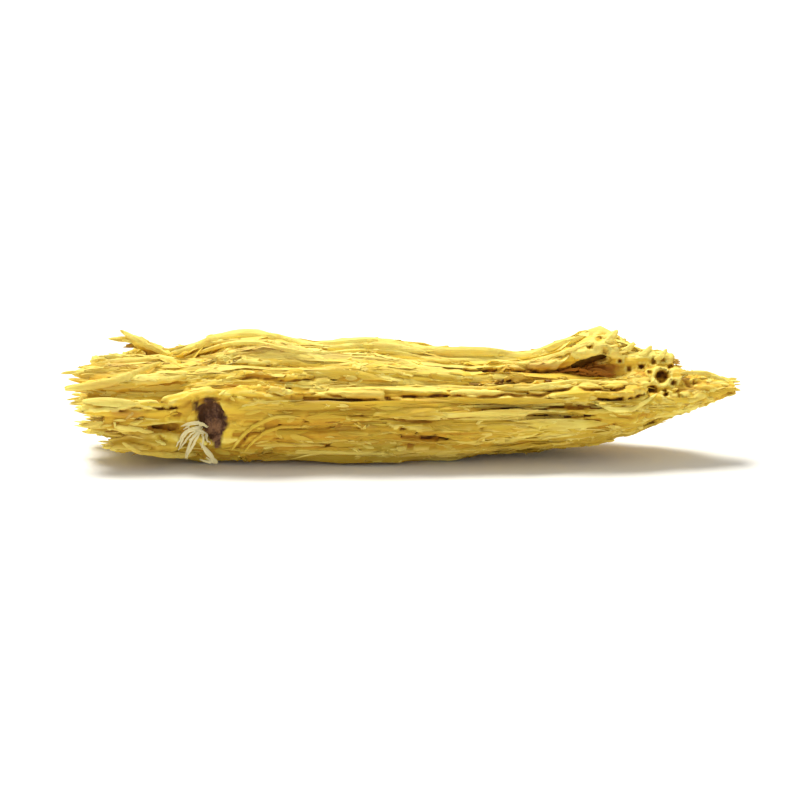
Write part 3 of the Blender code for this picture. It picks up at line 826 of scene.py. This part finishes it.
def ray_fan(count):
    """Directions spread evenly over a half sphere round +Z, closer together round its pole."""
    fan = []
    for k in range(count):
        height = math.sqrt((k + 0.5) / count)
        turn = k * math.pi * (3 - math.sqrt(5))
        flat = math.sqrt(1 - height * height)
        fan.append(Vector((flat * math.cos(turn), flat * math.sin(turn), height)))
    return fan


SHELTER_FAN = ray_fan(SHELTER_RAYS)


def shelter_at(tree, place, out):
    """From 0 to 1 how much of the light from outside the wood nearby keeps off this spot."""
    turned = out.to_track_quat("Z", "Y").to_matrix()
    start = place + out * SHELTER_START
    blocked = 0.0
    for ray in SHELTER_FAN:
        _, _, _, distance = tree.ray_cast(start, turned @ ray, SHELTER_REACH)
        if distance is not None:
            blocked += 1.0 - SHELTER_FADE * distance / SHELTER_REACH
    return blocked / SHELTER_RAYS


def ragged_edge(point):
    return sum(strength * noise.noise(point / (size * MM)) for strength, size in EDGE_RAGS)


def scar_distance(place):
    """How far a spot of the front is from the scar's middle: 1 at its edge. It narrows downwards."""
    across = (place.z - SCAR_Z) / SCAR_HALF_HEIGHT
    half_width = SCAR_HALF_WIDTH * (1.0 + SCAR_TAPER * min(max(across, -1.0), 1.0))
    along = (place.x - SCAR_X + SCAR_LEAN * across) / half_width
    return math.hypot(along, across)


def cork_share(point):
    """1 on the cork, 0 on bare wood: the scar on the front and three patches along the lower back."""
    ragged = ragged_edge(point)
    share = 0.0
    if point.y < SCAR_FRONT:
        share = unit((1.05 - scar_distance(point) - 1.2 * ragged) / 0.15)
    turn = math.degrees(math.atan2(point.z - AXIS_HEIGHT, point.y))
    for x_middle, turn_middle, half_length, half_turn in CORK_PATCHES:
        along = (point.x / MM - x_middle) / half_length
        across = (turn - turn_middle) / half_turn
        share = max(share, unit((1.0 - math.hypot(along, across) ** 2 - 1.3 * ragged) / 0.25))
    return share


def stain_and_shadow_at(point):
    """From 0 to 1 how reddish brown this spot of the front is, with stains and painted shadow."""
    height = (point.dot(VIEW_UP) + VIEW_SHIFT) / MM
    share = 0.0
    for x, middle, half_length, half_height, strength in STAIN_AND_SHADOW_SPOTS:
        away = math.hypot((point.x / MM - x) / half_length, (height - middle) / half_height)
        share = max(share, strength * unit((1.1 - away - 1.4 * ragged_edge(point)) / 0.5))
    return share


def convexity_of(mesh, rounds=2):
    """From -1 in sharp creases to 1 on sharp edges, for each vertex."""
    points, normals = points_of(mesh), normals_of(mesh)
    ends = np.empty(len(mesh.edges) * 2, np.int64)
    mesh.edges.foreach_get("vertices", ends)
    first, second = ends.reshape(-1, 2).T
    count = np.zeros(len(points))
    np.add.at(count, first, 1)
    np.add.at(count, second, 1)
    count = np.maximum(count, 1)

    def mean_of_neighbours(values):
        total = np.zeros_like(values)
        np.add.at(total, first, values[second])
        np.add.at(total, second, values[first])
        return total / (count[:, None] if values.ndim == 2 else count)

    bend = ((points - mean_of_neighbours(points)) * normals).sum(axis=1) / SKIN_VOXEL
    for _ in range(rounds):
        bend = (bend + mean_of_neighbours(bend)) / 2
    return np.clip(bend / FULL_BEND, -1.0, 1.0)


def wood_tone(point):
    """How pale the wood is here, with painted light above, and how olive, with painted shade low down, from
    0 to 1.
    """
    x, y, z = point / MM
    pale = PALE_MIDDLE
    for *streak, strength in PALE_STREAKS:
        pale += strength * streak_value(x, y, z, *streak)
    middle, slope = TOP_LIGHT_SLOPE
    high, more = TOP_LIGHT_HIGH
    # Painted light from above: the wood is made paler upwards
    pale += slope * (z - middle)
    pale += more * max(z - high, 0.0)
    left, left_slope = PALE_LEFT
    right, right_slope = PALE_RIGHT
    near_left, near_right = (min(max(past, 0.0), PALE_END_LENGTH) for past in (left - x, x - right))
    pale += left_slope * near_left + right_slope * near_right
    *patch, strength = OLIVE_PATCHES
    # Painted shade: more olive low on the front, near the table
    olive_and_low_shade = SHADED_OLIVE_LOW - SHADED_OLIVE_FALL * z + strength * streak_value(x, y, z, *patch)
    return pale, olive_and_low_shade


def mark_skin(skin, reliefs, rims, tree):
    """Gives the skin the masks that its material reads: painted shade, cork, stain and shadow, tint and
    light, and olive and low shade.
    """
    mesh = skin.data
    bend = convexity_of(mesh)
    normals = normals_of(mesh)
    # Painted shade: more where the wood nearby keeps light off and in grooves, less on edges and vessel rims
    painted_shade = [shelter_at(tree, vertex.co, Vector(way)) for vertex, way in zip(mesh.vertices, normals)]
    painted_shade = np.array(painted_shade)
    grooves = np.clip(reliefs[:, 1], 0.0, 1.0)
    painted_shade += grooves * SHELTER_FROM["groove"]
    painted_shade -= bend * SHELTER_FROM["bend"]
    painted_shade -= rims * SHELTER_FROM["rim"]
    write_mask(mesh, "painted_shade", np.clip(painted_shade, 0.0, 1.0))
    write_mask(mesh, "cork", [cork_share(vertex.co) for vertex in mesh.vertices])
    front = normals @ np.array(VIEW_AHEAD) < STAIN_SHADOW_FACING
    stain_shadow_values = [stain_and_shadow_at(vertex.co) if seen else 0.0 for vertex, seen in zip(mesh.vertices, front)]
    write_mask(mesh, "stain_and_shadow", stain_shadow_values)
    tones = np.array([wood_tone(vertex.co) for vertex in mesh.vertices])
    # Painted highlight: convex edges and raised ridges paler, creases and low relief darker
    tints_and_light = tones[:, 0] + TINT_AND_HIGHLIGHT_FROM["bend"] * bend + TINT_AND_HIGHLIGHT_FROM["relief"] * (reliefs[:, 0] / FULL_RELIEF)
    tints_and_light += TINT_AND_HIGHLIGHT_FROM["slip"] * reliefs[:, 2]
    tints_and_light += TINT_AND_HIGHLIGHT_FROM["rim"] * rims
    write_mask(mesh, "tint_and_light", np.clip(tints_and_light, 0.0, 1.0))
    write_mask(mesh, "olive_and_low_shade", np.clip(tones[:, 1], 0.0, 1.0))


# Loose fibres


def strip_blank(sides, steps):
    """The points and faces of a bar one unit long along X, wide and thick, that narrows to both ends."""
    bpy.ops.mesh.primitive_cylinder_add(vertices=sides, radius=0.5, depth=1.0, end_fill_type="TRIFAN")
    bpy.ops.transform.rotate(value=math.pi / 2, orient_axis="Y", center_override=(0, 0, 0))
    bpy.ops.transform.translate(value=(0.5, 0, 0))
    bar = bpy.context.active_object
    only(bar)
    bpy.ops.object.transform_apply(location=True, rotation=True, scale=True)
    bpy.ops.object.mode_set(mode="EDIT")
    for k in range(1, steps):
        bpy.ops.mesh.select_all(action="SELECT")
        bpy.ops.mesh.bisect(plane_co=(k / steps, 0, 0), plane_no=(1, 0, 0))
    bpy.ops.object.mode_set(mode="OBJECT")
    for vertex in bar.data.vertices:
        along = STRIP_CUT + (1 - 2 * STRIP_CUT) * vertex.co.x
        share = max(math.sin(math.pi * along) ** STRIP_TAPER, TIP_SHARE)
        vertex.co.y *= share
        vertex.co.z *= share
    points = points_of(bar.data)
    faces = [tuple(face.vertices) for face in bar.data.polygons]
    bpy.data.objects.remove(bar)
    return points, faces


def bend_copy(blank_points, path, width, thickness, twist):
    """The blank's points laid along a path of (centre, across, out) frames."""
    steps = len(path) - 1
    centres = np.array([list(centre) for centre, _, _ in path])
    across = np.array([list(way) for _, way, _ in path])
    out = np.array([list(way) for _, _, way in path])
    spots = np.clip(blank_points[:, 0], 0.0, 1.0) * steps
    low = np.minimum(spots.astype(int), steps - 1)
    share = (spots - low)[:, None]
    centre = centres[low] * (1 - share) + centres[low + 1] * share
    wide = across[low] * (1 - share) + across[low + 1] * share
    thick = out[low] * (1 - share) + out[low + 1] * share
    angle = twist * blank_points[:, 0]
    y = blank_points[:, 1] * width * np.cos(angle) - blank_points[:, 2] * thickness * np.sin(angle)
    z = blank_points[:, 1] * width * np.sin(angle) + blank_points[:, 2] * thickness * np.cos(angle)
    return centre + wide * y[:, None] + thick * z[:, None]


def join_copies(name, blank, copies, masks):
    """One mesh of all the copies of a blank. Each copy has its own value of each mask."""
    blank_points, blank_faces = blank
    points = np.concatenate(copies)
    faces = []
    for number in range(len(copies)):
        offset = number * len(blank_points)
        faces.extend(tuple(corner + offset for corner in face) for face in blank_faces)
    mesh = bpy.data.meshes.new(name)
    mesh.from_pydata(points.tolist(), [], faces)
    for mask_name, values in masks.items():
        write_mask(mesh, mask_name, np.repeat(values, len(blank_points)))
    made = link_new(name, mesh)
    edit_all(made, bpy.ops.mesh.normals_make_consistent, inside=False)
    bpy.ops.object.shade_smooth_by_angle(angle=math.radians(40))
    return made


def view_spot(tree, x, height):
    """Where the skin shows at this x and height in the picture, in mm, with the way out of it there."""
    start = Vector((x * MM, 0, 0)) + VIEW_UP * (height * MM - VIEW_SHIFT) - VIEW_AHEAD * (10 * MM)
    place, normal, _, _ = tree.ray_cast(start, VIEW_AHEAD, 20 * MM)
    if place is None:
        return None
    return place, normal


def skin_spot(tree, x, turn):
    """Where a line from the grain's middle out at this turn leaves the wood, with the way out there."""
    out = Vector((0, math.cos(turn), math.sin(turn)))
    far = Vector((x, 0, AXIS_HEIGHT)) + out * (6 * MM)
    place, normal, _, _ = tree.ray_cast(far, -out, 8 * MM)
    if place is None:
        return None
    return place, normal


def fibre_path(tree, start, length, turn, drift, sink, lift_start, lift_end):
    """Frames along the skin from x = start, or None where the wood ends too soon."""
    path = []
    for k in range(STRIP_STEPS + 1):
        t = k / STRIP_STEPS
        spot = skin_spot(tree, start + length * t, turn + drift * t)
        if spot is None:
            return None
        place, normal = spot
        normal = Vector((0, normal.y, normal.z))
        if normal.length < 0.3:
            return None
        out = normal.normalized()
        lift = lift_start * (1 - t) ** 3 + lift_end * t**3 - sink
        if path and (place - path[-1][3]).length > LONGEST_STEP * length / STRIP_STEPS:
            return None
        path.append((place + out * lift, Vector((0, -out.z, out.y)), out, place))
    return [(centre, across, out) for centre, across, out, _ in path]


class Heap:
    """The copies of a blank that go into one piece, each with its own value of every mask."""

    def __init__(self, tree, blank):
        self.tree = tree
        self.blank = blank
        self.copies = []
        self.masks = {"tint_and_light": [], "olive_and_low_shade": [], "painted_shade": [], "stain_and_shadow": []}

    def add(self, path, width, thickness, twist, paler):
        """Bends a copy along the path, this much paler than the wood at its middle."""
        middle, _, out = path[len(path) // 2]
        pale, olive_and_low_shade = wood_tone(middle)
        points = bend_copy(self.blank[0], path, width, thickness, twist)
        points[:, 2] = np.maximum(points[:, 2], TABLE_LOWEST)
        self.copies.append(points)
        self.masks["tint_and_light"].append(unit(pale + PALER_LOOSE + paler))
        self.masks["olive_and_low_shade"].append(unit(olive_and_low_shade))
        # Painted shade from the wood near the fibre's middle
        self.masks["painted_shade"].append(0.9 * shelter_at(self.tree, middle + out * thickness, out))
        self.masks["stain_and_shadow"].append(stain_and_shadow_at(middle) if middle.y < LOOSE_STAIN_SHADOW_END else 0.0)

    def join(self, name):
        return join_copies(name, self.blank, self.copies, self.masks)


def lay_fibres(name, tree, plan, chance, blank):
    """Loose wood along the skin, by one of the plans at the top. The lift raises one end of each."""
    count, lengths, widths, thicknesses, lifts, paler = plan
    heap = Heap(tree, blank)
    for _ in range(count * 4):
        if len(heap.copies) == count:
            break
        long = chance.uniform(*lengths) * MM
        start = chance.uniform(cad_low.x + 0.3 * MM, cad_high.x - 0.4 * MM - long)
        turn = chance.uniform(0, 2 * math.pi)
        raised = chance.uniform(*lifts) * MM
        drift = chance.uniform(-FIBRE_DRIFT, FIBRE_DRIFT)
        lift_ends = (0.0, raised) if chance.random() < 0.5 else (raised, 0.0)
        thickness = chance.uniform(*thicknesses) * MM
        path = fibre_path(tree, start, long, turn, drift, thickness * FIBRE_SUNK, *lift_ends)
        if path is None or any(centre.z < TABLE_GAP or kept_bare(centre) for centre, _, _ in path):
            continue
        width = chance.uniform(*widths) * MM
        twist = chance.uniform(-FIBRE_TWIST, FIBRE_TWIST)
        heap.add(path, width, thickness, twist, chance.uniform(*paler))
    return heap.join(name)


def lay_stubs(name, tree, side, plan, chance, blank):
    """Short splinters that stand out of a broken end: the left one for a side of -1, the right for 1."""
    count, lengths, widths, paler = plan
    heap = Heap(tree, blank)
    for number in range(count * 12):
        if len(heap.copies) == count:
            break
        start = Vector((side * 13 * MM, chance.uniform(-2.2, 2.2) * MM, chance.uniform(0.2, 4.4) * MM))
        place, normal, _, _ = tree.ray_cast(start, Vector((-side, 0, 0)), 8 * MM)
        if place is None or normal.x * side < STUB_FACING:
            continue
        heading = Vector((side, chance.uniform(-0.22, 0.22), chance.uniform(-0.16, 0.22))).normalized()
        out = heading.cross(Vector((0, math.cos(number), math.sin(number)))).normalized()
        across = out.cross(heading).normalized()
        long = chance.uniform(*lengths) * MM
        runs = [long * (k / STRIP_STEPS - STUB_SUNK) for k in range(STRIP_STEPS + 1)]
        path = [(place + heading * run, across, out) for run in runs]
        if place.z < 2 * TABLE_GAP or kept_bare(place):
            continue
        width = chance.uniform(*widths) * MM
        heap.add(path, width, width * chance.uniform(0.5, 0.9), 0.0, chance.uniform(*paler))
    return heap.join(name)


def eased(keys, t):
    """A point of the smooth curve through the keys, for t from 0 at the first to 1 at the last."""
    spot = unit(t) * (len(keys) - 1)
    i = min(int(spot), len(keys) - 2)
    u = spot - i
    before, start, end, after = keys[max(i - 1, 0)], keys[i], keys[i + 1], keys[min(i + 2, len(keys) - 1)]
    return (
        start
        + (end - before) * (u / 2)
        + (before * 2 - start * 5 + end * 4 - after) * (u * u / 2)
        + (start * 3 - before - end * 3 + after) * (u * u * u / 2)
    )


def strand_path(tree, line, steps, thickness):
    """Frames along a line of the front, given as x, height in the picture and lift in mm.

    It stays on the nearest wood: where the line leaves it, the strand runs on at the same depth.
    """
    keys = [Vector(key) for key in line]
    flats, lifts, spots = [], [], []
    for k in range(steps + 1):
        x, height, lift = eased(keys, k / steps)
        flats.append(Vector((x * MM, 0, 0)) + VIEW_UP * (height * MM - VIEW_SHIFT))
        lifts.append(lift * MM + STRAND_LIFT * thickness)
        spots.append(view_spot(tree, x, height))
    hits = [k for k, spot in enumerate(spots) if spot is not None]
    if not hits:
        return None
    nearest = [min(hits, key=lambda hit: abs(hit - k)) for k in range(steps + 1)]
    depths = [spots[hit][0].dot(VIEW_AHEAD) for hit in nearest]
    centres, outs = [], []
    for k, flat in enumerate(flats):
        depth = min(d + STRAND_SLOPE * (other - flat).length for d, other in zip(depths, flats))
        on_wood = spots[k] is not None and depth > depths[k] - OFF_WOOD
        out = (spots[k][1] - VIEW_AHEAD).normalized() if on_wood else -VIEW_AHEAD
        centres.append(flat + VIEW_AHEAD * depth + out * lifts[k])
        outs.append(out)
    path = []
    for k, centre in enumerate(centres):
        heading = (centres[min(k + 1, steps)] - centres[max(k - 1, 0)]).normalized()
        across = outs[k].cross(heading).normalized()
        path.append((centre, across, heading.cross(across).normalized()))
    return path


def lay_strands(name, tree, strands, chance, blank):
    """The strands of a list, each as width, thickness, how much paler it is, and line."""
    heap = Heap(tree, blank)
    for width, thickness, paler, line in strands:
        path = strand_path(tree, line, LONG_STEPS, thickness * MM)
        if path is not None:
            twist = chance.uniform(-STRAND_TWIST, STRAND_TWIST)
            heap.add(path, width * MM, thickness * MM, twist, paler)
    return heap.join(name)


def crest_height(tree, x):
    """The height in the picture at which the wood's upper edge shows at this x, in mm."""
    for k in range(EDGE_STEPS):
        height = CREST_TOP - EDGE_STEP * k
        if view_spot(tree, x, height) is not None:
            return height
    return 0.0


def crest_line(tree, start, end, below, chance):
    """A line just under the upper edge, from one x to another."""
    count = max(3, round((end - start) / CREST_STEP))
    line = []
    for k in range(count + 1):
        x = start + (end - start) * k / count
        line.append((x, crest_height(tree, x) - below - chance.uniform(0.0, 0.04), 0.0))
    return tuple(line)


def crest_strands(tree, chance):
    """The pale cord along the top, laid in lengths that overlap, with thinner ones beside it."""
    width, thickness, tint_and_light, start, end = CREST_CORD
    below_upper, below_lower = CREST_BELOW
    strands = []
    while start < end - 1.0:
        stop = min(start + chance.uniform(*CREST_LENGTHS), end)
        upper = crest_line(tree, start, stop, below_upper, chance)
        strands.append((width * chance.uniform(0.85, 1.1), thickness, tint_and_light, upper))
        lower = crest_line(tree, start + 0.5, stop + 0.3, below_lower, chance)
        strands.append((width * 0.5, thickness * 0.6, tint_and_light * 0.75, lower))
        start = stop - CREST_OVERLAP
    return strands


def hair_strands(chance):
    """The hairs beside the scar, each laid as a few that part from each other."""
    strands = []
    for width, thickness, paler, line in HAIRS:
        for _ in range(HAIRS_TOGETHER):
            parted = []
            for k, (x, height, lift) in enumerate(line):
                spread = HAIR_SPREAD * (0.3 + 0.7 * k)
                away = chance.uniform(-spread, spread)
                up = chance.uniform(-spread, spread)
                parted.append((x + away, max(height + up, HAIR_LOWEST), lift))
            strands.append((width * chance.uniform(0.7, 1.3), thickness, paler, tuple(parted)))
    return strands


def dress(piece, material):
    for name in ("tint_and_light", "olive_and_low_shade", "painted_shade", "stain_and_shadow", "cork"):
        if name not in piece.data.attributes:
            write_mask(piece.data, name, np.zeros(len(piece.data.vertices)))
    piece.data.materials.clear()
    piece.data.materials.append(material)
    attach(piece, BODY)


def main():
    place_camera()
    set_studio()
    chance = random.Random(SEED)
    groups = {"fibres": make_fibre_group(), "cork": make_cork_group(), "crevice": make_crevice_group()}
    wood = root_wood(groups)
    hair = root_hair(groups)

    skin, reliefs, rims = make_skin()
    tree = BVHTree.FromObject(skin, bpy.context.evaluated_depsgraph_get())
    mark_skin(skin, reliefs, rims, tree)
    dress(skin, wood)
    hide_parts(NODE)

    short = strip_blank(4, STRIP_STEPS)
    for name, plan in (
        ("laths", LATHS),
        ("flakes", FLAKES),
        ("tufts", TUFTS),
        ("ridge_fibres", RIDGE_FIBRES),
        ("lifted_fibres", LIFTED_FIBRES),
    ):
        dress(lay_fibres(name, tree, plan, chance, short), wood)
    dress(lay_stubs("left_splinters", tree, -1, LEFT_STUBS, chance, short), wood)
    dress(lay_stubs("right_splinters", tree, 1, RIGHT_STUBS, chance, short), wood)
    long = strip_blank(6, LONG_STEPS)
    dress(lay_strands("crest_cord", tree, crest_strands(tree, chance), chance, long), wood)
    dress(lay_strands("front_strands", tree, STRANDS, chance, long), wood)
    dress(lay_strands("scar_hairs", tree, hair_strands(chance), chance, long), hair)


main()
